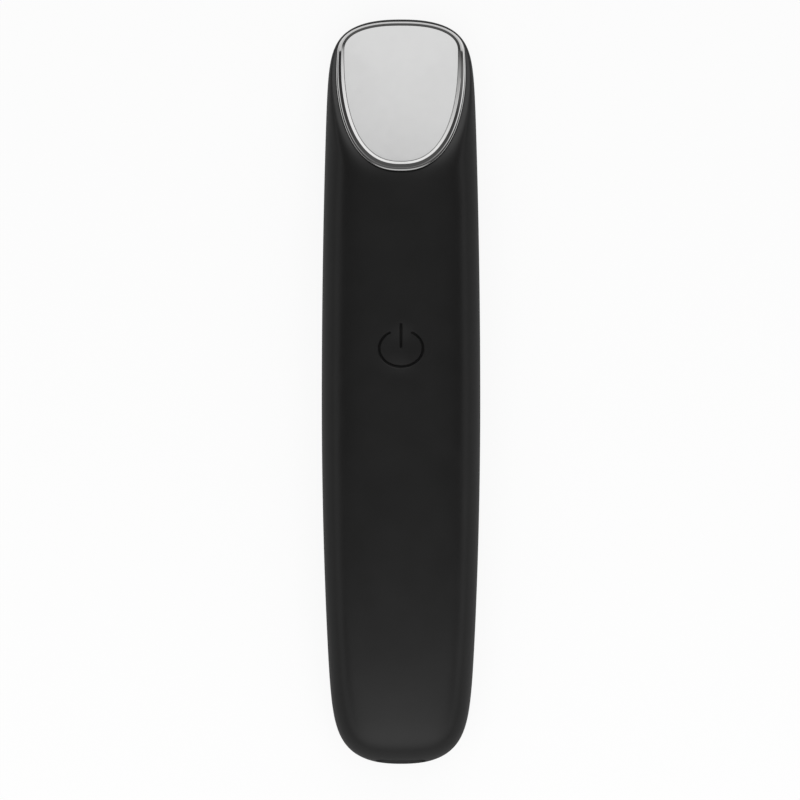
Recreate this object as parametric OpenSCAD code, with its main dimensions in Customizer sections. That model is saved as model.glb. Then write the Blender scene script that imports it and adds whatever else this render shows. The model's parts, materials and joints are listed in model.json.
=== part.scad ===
// Heated eye massager wand. A seamless soft sleeve covers a rigid two-part shell. The head is cut
// slantwise and carries a warm metal plate in a narrow ring; a dished power button sits on the
// front, a vibration motor behind the head, and a charging inlet in the tail.
// The wand lies on its flat back: X across, Y towards the head, Z out of the front.

/* [Body] */
// Length from tail to tip
body_l = 140; // [132:1:155]
// Width at the widest point
body_w = 29.8; // [29:0.1:33]
// Thickness at the crown of the front
body_t = 20; // [19.6:0.1:22]
// Distance from the middle to the widest point, towards the tail
waist_shift = 2; // [0:0.5:6]
// Radius of the bowed sides between the widest point and the head
side_r_head = 1700; // [1200:50:2500]
// Radius of the bowed sides between the widest point and the tail
side_r_tail = 940; // [800:20:1500]
// How far the sides run before they turn in at the tip, as a power
tip_square = 21.4; // [16:0.2:26]
// Roundness of the tip outline, as a power
tip_round = 2.33; // [2:0.01:2.8]
// How far the sides run before they turn in at the tail, as a power
tail_square = 18; // [14:0.2:22]
// Roundness of the tail outline, as a power
tail_round = 2.38; // [2:0.01:2.8]
// How far front and back run before they close at the tip, as a power
tip_depth_square = 22; // [18:0.5:28]
// How far front and back run before they close at the tail, as a power
tail_depth_square = 14; // [12:0.5:18]
// Roundness of the ends in side view, as a power
depth_round = 2.2; // [2:0.05:2.6]
// Squareness of the cross-section, as a power
section_power = 2.85; // [2.5:0.05:3.2]
// Distance from the middle to the crown of the front, towards the head
crown_y = 15; // [5:1:20]
// Radius of the front along the wand
crown_r = 1000; // [900:50:2000]
// Depth that the flat back cuts into the rounded section
flat_depth = 0.6; // [0.4:0.05:0.8]
// Height of the widest line at the tip
tip_line_z = 4.8; // [4.4:0.1:5.2]
// Length over which the widest line drops to the tip
tip_drop_l = 36; // [30:1:45]
// Height of the widest line at the tail
tail_line_z = 6.4; // [6:0.1:7]
// Length over which the widest line drops to the tail
tail_drop_l = 30; // [24:1:40]

/* [Head] */
// Length of the slanted face, measured along the wand
head_l = 28.8; // [28:0.1:31]
// Slope of the slanted face
head_tilt = 25; // [23:0.5:26]
// Distance from the start of the slant to the plate
plate_set = 2; // [1.9:0.05:2.5]
// Distance from the plate to the tip, along the slant
tip_band = 1.9; // [1.8:0.05:2.3]
// Distance from the plate to the widest point of the wand, across it
side_band = 4.4; // [4.3:0.05:4.8]
// Distance from the tip edge of the plate to its widest line
plate_wide = 5.3; // [4.6:0.1:7]
// Squareness of the plate outline, as a power
plate_power = 2.42; // [2.3:0.01:2.6]
// Height of the plate's edge above the slanted face
plate_rise = 0.75; // [0.7:0.05:0.9]
// Height of the dome on the plate
plate_crown = 0.35; // [0.2:0.05:0.6]
// Height of the plate's rounded edge
plate_edge_h = 0.2; // [0.1:0.05:0.3]
// Width of the plate's rounded edge
plate_edge_w = 0.25; // [0.1:0.05:0.4]
// Wall of the plate
plate_t = 0.6; // [0.5:0.05:0.7]
// Width of the trim ring
ring_w = 1.65; // [1.5:0.05:1.75]
// How much narrower the trim ring is along the tip
ring_pinch = 0.4; // [0.35:0.05:0.5]
// Height of the trim ring above the slanted face
ring_rise = 0.95; // [0.7:0.05:1.1]
// Depth of the bevel that falls from the ring's crest to the plate
ring_bevel = 0.22; // [0.1:0.02:0.3]

/* [Shells] */
// Wall of the soft sleeve
sleeve_t = 1.4; // [1.2:0.05:1.6]
// Wall of the rigid shells
shell_t = 1.2; // [1:0.05:1.4]
// Radius of the screw bosses
boss_r = 2.2; // [2:0.1:2.4]
// Radius of the shell screws
shell_screw_r = 0.85; // [0.7:0.05:1]
// Length of the shell screws under the head
shell_screw_l = 7; // [6:0.5:8]
// Distance of the screws in the head from the middle
head_boss_x = 6; // [5.8:0.1:6.4]

/* [Button] */
// Distance from the button to the start of the slant
button_to_head = 33.3; // [32:0.1:38]
// Radius of the dish
dish_r = 6; // [5.6:0.1:6.6]
// Depth of the dish
dish_depth = 0.9; // [0.7:0.05:1]
// Radius of the moving face of the button
button_r = 4.9; // [4.6:0.1:5.1]
// Thickness of the button's face
button_t = 0.9; // [0.8:0.05:1.1]
// Travel of the button
button_travel = 0.3; // [0.2:0.05:0.4]
// Radius of the plunger
plunger_r = 1.5; // [1.2:0.1:1.8]
// Thickness of the plunger's flange
flange_t = 0.6; // [0.5:0.05:0.8]
// Side of the push switch
switch_w = 4.5; // [4:0.1:5.2]
// Height of the push switch
switch_h = 1.8; // [1.6:0.05:2.2]
// Radius of the push switch's stem
stem_r = 1.15; // [1:0.05:1.3]
// Height of the stem above the switch
stem_rise = 1.2; // [1:0.05:1.5]

/* [Motor] */
// Radius of the motor
motor_r = 3.5; // [3:0.1:3.6]
// Length of the motor
motor_l = 16; // [14:0.5:17]
// Wall of the rubber boots round the motor
boot_t = 1; // [0.8:0.05:1.1]
// Length of each rubber boot
boot_l = 3; // [2:0.1:4]
// Radius of the motor shaft
shaft_r = 0.5; // [0.4:0.05:0.6]
// Radius of the eccentric weight
weight_r = 3.2; // [2.6:0.1:3.4]
// Length of the eccentric weight
weight_l = 4; // [3:0.1:4.5]

/* [Board and battery] */
// Width of the main board
board_w = 15.4; // [14.4:0.1:16]
// Thickness of the main board
board_t = 1; // [0.8:0.05:1.2]
// Distance from the tail to the main board
board_from_tail = 5.6; // [5.4:0.1:6.5]
// Width of the battery cell
cell_w = 15; // [13:0.1:15.2]
// Length of the battery cell
cell_l = 44; // [36:1:45]
// Thickness of the battery cell
cell_t = 5.4; // [4.4:0.1:5.6]
// Distance from the tail to the battery cell
cell_from_tail = 20; // [19.5:0.5:22]
// Width of the charging socket
usb_w = 8.94; // [8.6:0.02:9]
// Height of the charging socket
usb_h = 3.26; // [3.1:0.02:3.3]
// Length of the charging socket
usb_l = 7.35; // [6.8:0.05:7.6]
// Distance from the tail to the mouth of the socket
usb_recess = 1; // [0.9:0.05:1.3]
// Radius of the leads
lead_r = 0.4; // [0.3:0.05:0.45]

/* [Clearances] */
// Gap between the sleeve and the shells
skin_gap = 0.1; // [0.05:0.01:0.15]
// Gap between pieces that seat in each other
seat_gap = 0.05; // [0.02:0.01:0.08]
// Radial clearance round pieces that slide or turn
run_gap = 0.05; // [0.03:0.01:0.08]

/* [Hidden] */

$fn = 48;
far = 400;                       // size of the blocks that cut away half a space

// Facets of the curved skins
outer_sides = 48;
inner_sides = 32;
outer_steps = 20;                // rings from the middle to each end
inner_steps = 11;
crowding = 2.5;                  // how strongly the rings gather at the ends
end_clamp = 0.9997;              // share of the half length where the end caps close
egg_sides = 72;

// Body lines
tip_y = body_l / 2;
tail_y = -body_l / 2;
slant_y = tip_y - head_l;
shell_in = sleeve_t + skin_gap;             // inset of the shells' outside
room_in = shell_in + shell_t;               // inset of the room inside the shells
floor_z = room_in;

function mix(a, b, s) = a + (b - a) * s;
function ease(s) = let (c = min(1, max(0, s))) c * c * (3 - 2 * c);
function signed_pow(x, p) = sign(x) * pow(abs(x), p);

// Share of the full section that is left at y, on a body drawn in by inset
function end_share(y, inset, square, roundness) =
    let (u = min(end_clamp, abs(y) / (body_l / 2 - inset)))
    pow(1 - pow(u, square), 1 / roundness);
function half_width(y, inset) =
    let (from_waist = y + waist_shift,
         side_r = from_waist > 0 ? side_r_head : side_r_tail,
         side = body_w / 2 - inset - from_waist * from_waist / (2 * side_r))
    side * (y > 0 ? end_share(y, inset, tip_square, tip_round)
                  : end_share(y, inset, tail_square, tail_round));
function front_z(y) = body_t - pow(y - crown_y, 2) / (2 * crown_r);
function line_z(y) =
    let (middle = (front_z(y) - flat_depth) / 2)
    y > 0 ? mix(middle, tip_line_z, ease((y - tip_y + tip_drop_l) / tip_drop_l))
          : mix(middle, tail_line_z, ease((tail_y + tail_drop_l - y) / tail_drop_l));
function depth_share(y, inset) =
    end_share(y, inset, y > 0 ? tip_depth_square : tail_depth_square, depth_round);
function rise(y, inset) = (front_z(y) - line_z(y) - inset) * depth_share(y, inset);
function fall(y, inset) = (line_z(y) + flat_depth - inset) * depth_share(y, inset);
function section_ring(y, inset, sides) = [
    for (i = [0 : sides - 1])
        let (a = 360 * i / sides, x = cos(a), z = sin(a), p = 2 / section_power)
        [half_width(y, inset) * signed_pow(x, p), y,
         line_z(y) + (z > 0 ? rise(y, inset) : fall(y, inset)) * signed_pow(z, p)]
];
function station(s) = sign(s) * (1 - pow(1 - abs(s), crowding));

// Slanted face of the head: u across, v down the slope from its start, h out of it
slant_z = front_z(slant_y);
slant_l = head_l / cos(head_tilt);
shelf_h = -shell_in;                        // outside of the shell under the slanted face
function on_slant(u, v, h) = [
    u,
    slant_y + v * cos(head_tilt) + h * sin(head_tilt),
    slant_z - v * sin(head_tilt) + h * cos(head_tilt)
];

// Egg-shaped outline of the plate
plate_w = body_w - 2 * side_band;
plate_l = slant_l - plate_set - tip_band;
egg_v = plate_set + plate_l - plate_wide;   // widest line of the plate
function egg(a, inset = 0) =
    let (y = sin(a), reach = y > 0 ? plate_wide : plate_l - plate_wide)
    [(plate_w / 2 - inset) * signed_pow(cos(a), 2 / plate_power),
     egg_v + (reach - inset) * signed_pow(y, 2 / plate_power)];
function egg_beside(a, out) =
    let (t = egg(a + 1) - egg(a - 1))
    egg(a) + out * [t.y, -t.x] / norm(t);
function egg_outline(inset) = [for (i = [0 : egg_sides - 1]) egg(360 * i / egg_sides, inset)];

// Stack under the plate
heater_t = 0.2;
carrier_t = 0.6;
carrier_depth = 1.6;                        // depth of the carrier's tray under its flange
window_in = 3.7;                            // inset of the shell's window from the plate
plate_under_h = plate_rise - plate_t;
plate_arc_steps = 2;                        // facets of the plate's rounded edge
heater_h = plate_under_h - heater_t - seat_gap;
carrier_top_h = shelf_h + seat_gap + carrier_t;
pad_t = heater_h - carrier_top_h - 2 * seat_gap;
head_screw_r = 0.6;
head_screw_l = 3;
head_screw_head = [1, 0.5];                 // radius and height
head_screw_spots = [for (a = [40, 140, 236, 304]) egg(a, 2.1)];
head_boss_r = 1.5;
head_boss_l = 2.9;
lead_v = plate_set + 0.3 * plate_l;         // where the leads pass the carrier, down the slope
lead_slot = [7, 3.4];
bead_v = lead_v + 1;                        // thermistor, down the slope
bead_x = -1.8;
bead_r = 0.45;
bead_l = 2.4;
ring_edge_h = 0.1;                          // top of the ring's outer wall
ring_crest = 0.38;                          // place of the crest, as a share of the width
ring_bead = 0.7;                            // place of the top of the outer bead, likewise
ring_bead_h = 0.55;
ring_arc_steps = 4;
ring_corner_a = 26;                         // angle of the tip corners on the outline
ring_pinch_span = 30;                       // angle over which the ring widens again
function ring_width(a) =
    let (past_corner = max(0, abs((a > 270 ? a - 360 : a) - 90) - 90 + ring_corner_a))
    ring_w - ring_pinch * exp(-pow(past_corner / ring_pinch_span, 2));
function ring_outline(gap) = [
    for (i = [0 : egg_sides - 1])
        let (a = 360 * i / egg_sides)
        egg_beside(a, ring_width(a) + gap)
];
// Section of the ring: how far out from the plate and how high. An outer bead meets a slope up to
// the crest, and a shallow bevel falls from there to the plate.
function ring_section(width) =
    let (crest = mix(seat_gap, width, ring_crest), bead = mix(seat_gap, width, ring_bead))
    [
        [seat_gap, shelf_h], [width, shelf_h],
        for (i = [0 : ring_arc_steps])
            let (a = 90 * i / ring_arc_steps)
            [mix(bead, width, cos(a)), mix(ring_edge_h, ring_bead_h, sin(a))],
        [crest, ring_rise],
        [seat_gap, ring_rise - ring_bevel]
    ];

// Inlet, with the lower lip of its slot on the widest line, and board heights
slot_gap = 0.15;                            // round the socket, in the shells
usb_z = tail_line_z + usb_h / 2 + 2 * slot_gap;
usb_wall = 0.3;
usb_corner_r = 1.4;
usb_tongue_size = [6.7, 0.7];
usb_tongue_in = 0.9;                        // from the mouth of the socket to its tongue
board_z = usb_z + usb_h / 2;                // underside of the main board
board_top = board_z + board_t;

// Motor on its saddles
boot_r = motor_r + seat_gap + boot_t;
motor_z = floor_z + 0.2 + boot_r;
motor_front_y = slant_y - 0.7;
motor_back_y = motor_front_y - motor_l;
motor_nub = [1.5, 0.8];                     // radius and length of the bearing nub
end_cap_l = 1;
shaft_in = 5;                               // length of the shaft inside the motor
weight_y = motor_front_y + motor_nub[1] + 0.7;
boot_ys = [motor_back_y + end_cap_l + boot_l / 2 + 0.5, motor_front_y - boot_l / 2 - 1];
saddle_t = 1.6;
saddle_w = 12;
saddle_gap = 0.1;

// Main board and its screws
board_screw_r = 0.7;
board_screw_head = [1.4, 0.9];
board_screw_l = 4;                          // depth of the screw holes in the posts
board_nose = 3.2;                           // slanted corners at the tail end of the board
post_r = 1.9;
mid_boss_gap = 4.5;                         // from the motor to the screw behind it
mid_boss_y = motor_back_y - mid_boss_gap;
board_head_y = mid_boss_y - 4;
board_tail_y = tail_y + board_from_tail;
tail_boss_in = 14;                          // from the tail to the first screw
tail_boss_y = tail_y + tail_boss_in;
board_screw_spots = [
    [-6.2, tail_boss_y - 1], [6.2, tail_boss_y - 1], [0, board_head_y - 2]
];

// Screws that join the shells
head_boss_in = 5.8;                         // from the start of the slant to the head's screws
shell_boss_spots = [
    [0, tail_boss_y], [0, mid_boss_y],
    [-head_boss_x, slant_y + head_boss_in], [head_boss_x, slant_y + head_boss_in]
];
shell_screw_head = [1.6, 1.2];
shell_screw_z = shell_in + 0.2 + shell_screw_head[1];   // underside of the screw heads
split_tail_z = usb_z;
split_tip_z = tip_line_z;
split_gap = 0.05;
loose_gap = 0.2;                            // round screws in their clearance holes

// Button stack
button_y = slant_y - button_to_head;
button_top = front_z(button_y);
dish_steps = 8;
function dish_z(r) = button_top - dish_depth * (1 - pow(r / dish_r, 4));
face_under_z = button_top - dish_depth - button_t;
well_r = button_r + 0.3;
well_wall = 1;
flange_r = button_r - 0.3;
well_floor_z = face_under_z - flange_t - button_travel - 0.5;
switch_top = board_top + switch_h;
led = [0.8, 2, 0.6];                        // lights the plunger from beside the switch
stem_top = switch_top + stem_rise;
stem_in = 0.9;                              // length of the stem inside the switch

// Battery
cell_y = tail_y + cell_from_tail;
cell_pad_t = 0.5;
cell_z = floor_z + cell_pad_t;
cell_top = cell_z + cell_t;
cell_corner_r = 1.3;
guard = [cell_w - 1.4, 1, 4];
guard_y = cell_y + cell_l + seat_gap;
cell_rib = [8, 1, 1.6];
cell_rib_gap = 0.6;                         // room for solder between guard board and rib
pad_w = 10;

// Leads
lead_sides = 6;
lead_steps = 2;
solder = 0.2;                               // left free at each end of a lead
side_run = 6.4;                             // where leads pass beside the motor

// A closed skin through a list of rings, with flat ends
module skin(rings) {
    n = len(rings[0]);
    last = len(rings) - 1;
    walls = [
        for (i = [0 : last - 1], j = [0 : n - 1])
            let (k = (j + 1) % n, a = i * n + j, b = i * n + k, c = a + n, d = b + n)
            each [[a, b, c], [b, d, c]]
    ];
    start_cap = [for (j = [n - 1 : -1 : 0]) j];
    end_cap = [for (j = [0 : n - 1]) last * n + j];
    polyhedron(concat([for (r = rings) each r]), concat(walls, [start_cap, end_cap]));
}

// A closed loop through a list of sections
module loop_skin(sections) {
    m = len(sections);
    n = len(sections[0]);
    faces = [
        for (i = [0 : m - 1], j = [0 : n - 1])
            let (p = (i + 1) % m, k = (j + 1) % n,
                 a = i * n + j, b = i * n + k, c = p * n + j, d = p * n + k)
            each [[a, b, c], [b, d, c]]
    ];
    polyhedron([for (s = sections) each s], faces);
}

// The wand's body drawn in by inset, flat at the back and cut off along the slant
module body(inset, sides, steps) {
    difference() {
        skin([
            for (i = [-steps : steps])
                section_ring((body_l / 2 - inset) * station(i / steps), inset, sides)
        ]);
        translate([-far / 2, -far / 2, inset - far]) cube(far);
        at_slant(-inset) translate([-far / 2, -far / 8, 0]) cube(far);
    }
}

module at_slant(h = 0) {
    translate([0, slant_y, slant_z]) rotate([-head_tilt, 0, 0]) translate([0, 0, h]) children();
}

// A prism on the slanted face between two heights
module slant_prism(points, low, high) {
    at_slant(low) linear_extrude(high - low) polygon(points);
}

module at_spots(spots) {
    for (s = spots) translate([s.x, s.y, 0]) children();
}

// Everything on one side of the plane that parts the shells
module at_split() {
    tilt = atan((split_tail_z - split_tip_z) / body_l);
    translate([0, 0, (split_tail_z + split_tip_z) / 2]) rotate([-tilt, 0, 0]) children();
}
module below_split() {
    at_split() translate([-far / 2, -far / 2, -far]) cube(far);
}
module above_split() {
    at_split() translate([-far / 2, -far / 2, split_gap]) cube(far);
}

// A bar along Y with rounded long edges, centred across and in height
module rounded_bar(w, l, h, r) {
    rotate([-90, 0, 0]) linear_extrude(l) {
        square([w - 2 * r, h], center = true);
        square([w, h - 2 * r], center = true);
        for (x = [-1, 1], y = [-1, 1]) translate([x * (w / 2 - r), y * (h / 2 - r)]) circle(r);
    }
}

module usb_slot(gap) {
    translate([0, tail_y - 5, usb_z])
        rounded_bar(usb_w + 2 * gap, 5 + usb_l, usb_h + 2 * gap, usb_corner_r + gap);
}

// Space over the dish of the button
module dish_space() {
    translate([0, button_y, 0]) rotate_extrude() polygon([
        for (i = [0 : dish_steps]) let (r = dish_r * i / dish_steps) [r, dish_z(r)],
        [dish_r, button_top + 5],
        [0, button_top + 5]
    ]);
}

module silicone_sleeve() {
    color("#2b2b2d") difference() {
        body(0, outer_sides, outer_steps);
        body(sleeve_t, inner_sides, inner_steps);
        slant_prism(ring_outline(seat_gap), shelf_h - seat_gap, far / 20);
        dish_space();
        translate([0, button_y, board_top]) cylinder(far, r = button_r + run_gap);
        usb_slot(2 * slot_gap);
    }
}

// One rigid shell: its wall on one side of the split, with the inner parts that are passed in,
// all cut to the shells' outside
module shell_half(upper) {
    intersection() {
        body(shell_in, inner_sides, inner_steps);
        union() {
            difference() {
                if (upper) above_split();
                else below_split();
                body(room_in, inner_sides, inner_steps);
            }
            children();
        }
    }
}

// Upper or lower halves of the ribs that hold the motor's boots
module saddles(upper) {
    for (y = boot_ys) difference() {
        translate([-saddle_w / 2, y - saddle_t / 2, upper ? motor_z + saddle_gap : 0])
            cube([saddle_w, saddle_t, upper ? body_t : motor_z - saddle_gap]);
        translate([0, y - saddle_t, motor_z]) rotate([-90, 0, 0])
            cylinder(2 * saddle_t, r = boot_r + seat_gap);
    }
}

module front_shell() {
    color("#3a3f45") difference() {
        shell_half(true) intersection() {
            above_split();
            union() {
                saddles(true);
                at_spots(shell_boss_spots) cylinder(body_t, r = boss_r);
                translate([0, button_y, well_floor_z - well_wall])
                    cylinder(body_t, r = well_r + well_wall);
                at_slant(shelf_h - head_boss_l)
                    for (s = head_screw_spots) translate(s) cylinder(head_boss_l, r = head_boss_r);
            }
        }
        at_spots(shell_boss_spots)
            cylinder(shell_screw_z + shell_screw_l + 0.5, r = shell_screw_r + seat_gap);
        translate([0, button_y, well_floor_z]) cylinder(body_t, r = well_r);
        translate([0, button_y, board_top]) cylinder(body_t, r = plunger_r + run_gap);
        slant_prism(egg_outline(window_in), -room_in - 0.5, 1);
        for (s = head_screw_spots)
            at_slant(carrier_top_h - head_screw_l - 0.2) translate(s)
                cylinder(head_screw_l + 1, r = head_screw_r + seat_gap);
        usb_slot(slot_gap);
    }
}

module back_shell() {
    color("#3a3f45") difference() {
        shell_half(false) {
            saddles(false);
            at_spots(board_screw_spots) cylinder(board_z - seat_gap, r = post_r);
            translate([0, button_y, 0]) cylinder(board_z - seat_gap, r = post_r);
            intersection() {
                at_spots(shell_boss_spots) cylinder(body_t, r = boss_r);
                below_split();
            }
            for (y = [cell_y - seat_gap - cell_rib.y, guard_y + guard.y + cell_rib_gap])
                translate([-cell_rib.x / 2, y, 0])
                    cube([cell_rib.x, cell_rib.y, floor_z + cell_rib.z]);
        }
        at_spots(board_screw_spots)
            translate([0, 0, board_z - board_screw_l]) cylinder(far, r = board_screw_r + seat_gap);
        at_spots(shell_boss_spots) {
            cylinder(body_t, r = shell_screw_r + loose_gap);
            cylinder(shell_screw_z, r = shell_screw_head[0] + loose_gap);
        }
        usb_slot(slot_gap);
    }
}

// A screw with its head's underside at the origin and its shank along +Z
module screw(r, l, head) {
    cylinder(l, r = r);
    translate([0, 0, -head[1]]) difference() {
        cylinder(head[1], r = head[0]);
        translate([0, 0, -1]) cylinder(1 + head[1] / 2, r = head[0] / 2, $fn = 6);
    }
}

module shell_screws() {
    color("#8c8f93") at_spots(shell_boss_spots)
        translate([0, 0, shell_screw_z]) screw(shell_screw_r, shell_screw_l, shell_screw_head);
}

module head_screws() {
    color("#8c8f93") for (s = head_screw_spots)
        at_slant(carrier_top_h) translate(s) rotate([180, 0, 0])
            screw(head_screw_r, head_screw_l, head_screw_head);
}

module board_screws() {
    color("#8c8f93") at_spots(board_screw_spots) translate([0, 0, board_top]) rotate([180, 0, 0])
        screw(board_screw_r, board_t + board_screw_l - 1, board_screw_head);
}

// Chrome ring round the plate: upright walls under an outer bead and an inner bevel
module trim_ring() {
    color("#c9ccd0") loop_skin([
        for (j = [0 : egg_sides - 1])
            let (a = 360 * j / egg_sides)
            [for (q = ring_section(ring_width(a)))
                let (p = egg_beside(a, q[0])) on_slant(p.x, p.y, q[1])]
    ]);
}

// Domed plate with a rounded edge and a turned-down wall. Each ring of its skin has a height, an
// inset and a share of the outline's size about the middle of the plate.
module massage_plate() {
    middle = [0, plate_set + plate_l / 2];
    rings = [
        [shelf_h, 0, 1],
        for (i = [0 : plate_arc_steps])
            let (a = 90 * i / plate_arc_steps)
            [plate_rise - plate_edge_h * (1 - sin(a)), plate_edge_w * (1 - cos(a)), 1],
        for (k = [0.7, 0.35]) [plate_rise + plate_crown * (1 - k * k), plate_edge_w, k]
    ];
    color("#d6d7d9") difference() {
        skin([
            for (q = rings) [
                for (i = [0 : egg_sides - 1])
                    let (p = mix(middle, egg(-360 * i / egg_sides, q[1]), q[2]))
                    on_slant(p.x, p.y, q[0])
            ]
        ]);
        slant_prism(egg_outline(plate_t), shelf_h - 1, plate_under_h);
    }
}

module heater_film() {
    color("#b5772c") slant_prism(egg_outline(plate_t + 0.4), heater_h, heater_h + heater_t);
}

module insulation_pad() {
    low = carrier_top_h + seat_gap;
    color("#e8e6df") difference() {
        slant_prism(egg_outline(plate_t + seat_gap), low, low + pad_t);
        at_slant(low - 1) {
            for (s = head_screw_spots) translate(s)
                cylinder(pad_t + 2, r = head_screw_head[0] + loose_gap);
            lead_window();
        }
    }
}

// Slot for the leads of heater and thermistor, through what lies under the plate
module lead_window() {
    translate([-lead_slot.x / 2, lead_v - lead_slot.y / 2, 0])
        cube([lead_slot.x, lead_slot.y, far / 20]);
}

module thermistor() {
    color("#d9a441") at_slant(heater_h - bead_r - seat_gap)
        translate([bead_x - bead_l / 2, bead_v, 0]) rotate([0, 90, 0]) cylinder(bead_l, r = bead_r);
}

// Tray that carries heater and plate: a flange on the shell and a pan through its window
module head_carrier() {
    flange_h = shelf_h + seat_gap;
    color("#6b5b45") difference() {
        union() {
            slant_prism(egg_outline(plate_t + seat_gap), flange_h, carrier_top_h);
            slant_prism(egg_outline(window_in + loose_gap), flange_h - carrier_depth,
                        flange_h + carrier_t / 2);
        }
        slant_prism(egg_outline(window_in + 1), flange_h - carrier_depth + 0.8, carrier_top_h + 1);
        for (s = head_screw_spots)
            at_slant(flange_h - 1) translate(s) cylinder(2 + carrier_t, r = head_screw_r + loose_gap);
        at_slant(flange_h - carrier_depth - 1) lead_window();
    }
}

// Dished face of the button; the sleeve's dish runs on across it
module button_membrane() {
    color("#2b2b2d") difference() {
        translate([0, button_y, face_under_z]) cylinder(dish_depth + button_t, r = button_r);
        dish_space();
    }
}

module button_plunger() {
    color("#dfe4e8") translate([0, button_y, 0]) {
        translate([0, 0, stem_top]) cylinder(face_under_z - stem_top, r = plunger_r);
        translate([0, 0, face_under_z - flange_t]) cylinder(flange_t, r = flange_r);
    }
}

module switch_stem() {
    color("#1c1c1e") translate([0, button_y, switch_top - stem_in])
        cylinder(stem_in + stem_rise, r = stem_r);
}

module push_switch() {
    color("#9a9da1") translate([0, button_y, board_top]) difference() {
        translate([-switch_w / 2, -switch_w / 2, 0]) cube([switch_w, switch_w, switch_h]);
        translate([0, 0, switch_h - stem_in - button_travel - seat_gap])
            cylinder(switch_h, r = stem_r + run_gap);
    }
}

// Things that turn about the motor's axis are drawn along +Z and laid down along +Y
module along_motor(y) {
    translate([0, y, motor_z]) rotate([-90, 0, 0]) children();
}

module motor_can() {
    can_l = motor_l - end_cap_l;
    color("#b9bcc0") along_motor(motor_back_y + end_cap_l) difference() {
        union() {
            cylinder(can_l, r = motor_r);
            cylinder(can_l + motor_nub[1], r = motor_nub[0]);
        }
        translate([0, 0, can_l - shaft_in - 0.5]) cylinder(far, r = shaft_r + run_gap);
    }
}

module motor_end_cap() {
    color("#efefec") along_motor(motor_back_y) {
        cylinder(end_cap_l, r = motor_r - 0.3);
        translate([0, 0, -0.4]) cylinder(0.4, r = motor_nub[0]);
    }
}

module motor_boots() {
    color("#3c3c3c") for (y = boot_ys) along_motor(y - boot_l / 2) difference() {
        cylinder(boot_l, r = boot_r);
        translate([0, 0, -1]) cylinder(boot_l + 2, r = motor_r + seat_gap);
    }
}

module motor_shaft() {
    color("#d0d2d5") along_motor(motor_front_y - shaft_in)
        cylinder(weight_y + weight_l - motor_front_y + shaft_in, r = shaft_r);
}

// Half-round weight that hangs below the shaft
module eccentric_weight() {
    color("#a08b5b") along_motor(weight_y) difference() {
        union() {
            intersection() {
                cylinder(weight_l, r = weight_r);
                translate([-far / 2, 0, 0]) cube(far);
            }
            cylinder(weight_l, r = 3 * shaft_r);
        }
        translate([0, 0, -1]) cylinder(weight_l + 2, r = shaft_r);
    }
}

module main_board() {
    w = board_w / 2;
    nose = w - board_nose;
    color("#1f6b3a") translate([0, 0, board_z]) difference() {
        linear_extrude(board_t) polygon([
            [-w, board_tail_y + board_nose], [-nose, board_tail_y],
            [nose, board_tail_y], [w, board_tail_y + board_nose],
            [w, board_head_y], [-w, board_head_y]
        ]);
        at_spots(board_screw_spots)
            translate([0, 0, -1]) cylinder(board_t + 2, r = board_screw_r + loose_gap);
        translate([0, tail_boss_y, -1]) cylinder(board_t + 2, r = boss_r + 2 * loose_gap);
    }
}

// A chip on the main board, at a share of its width from the middle and of its length from the tail
module chip(across, along, size) {
    y = mix(board_tail_y, board_head_y, along);
    translate([across * board_w - size.x / 2, y - size.y / 2, board_top]) cube(size);
}

module charge_controller() {
    color("#202225") chip(0, 0.21, [4, 5, 1.5]);
}

module control_chip() {
    color("#202225") chip(0, 0.52, [5, 5, 1.2]);
}

// Choke, capacitors and the transistors of motor and heater
module power_parts() {
    color("#4a4d52") {
        chip(-0.26, 0.335, [4, 4, 2]);
        for (along = [0.3, 0.37]) chip(0.23, along, [1.6, 3, 1.2]);
        for (across = [-0.3, 0, 0.3]) chip(across, 0.67, [1.4, 2.9, 1.1]);
    }
}

module status_led() {
    color("#f4f6f8") translate([switch_w / 2 + 0.4, button_y - led.y / 2, board_top]) cube(led);
}

module usb_shell() {
    color("#c4c7ca") translate([0, tail_y + usb_recess, usb_z]) difference() {
        rounded_bar(usb_w, usb_l, usb_h, usb_corner_r);
        translate([0, -1, 0])
            rounded_bar(usb_w - 2 * usb_wall, usb_l, usb_h - 2 * usb_wall, usb_corner_r - usb_wall);
    }
}

module usb_tongue() {
    size = [usb_tongue_size.x, usb_l - 1 - usb_tongue_in, usb_tongue_size.y];
    color("#1c1c1e") translate([-size.x / 2, tail_y + usb_recess + usb_tongue_in, usb_z - size.z / 2])
        cube(size);
}

module battery_cell() {
    color("#b8bcc2") translate([0, cell_y, (cell_z + cell_top) / 2])
        rounded_bar(cell_w, cell_l, cell_t, cell_corner_r);
}

module battery_guard_board() {
    color("#1f6b3a") translate([-guard.x / 2, guard_y, cell_z + (cell_t - guard.z) / 2]) cube(guard);
}

// Adhesive pad under the cell and foam strips between the cell and the board
module battery_pads() {
    color("#303234") {
        translate([-pad_w / 2, cell_y + 2, floor_z]) cube([pad_w, cell_l - 4, cell_pad_t]);
        for (y = [cell_y + 3, cell_y + cell_l - 9])
            translate([-pad_w / 2, y, cell_top]) cube([pad_w, 6, board_z - cell_top]);
    }
}

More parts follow.
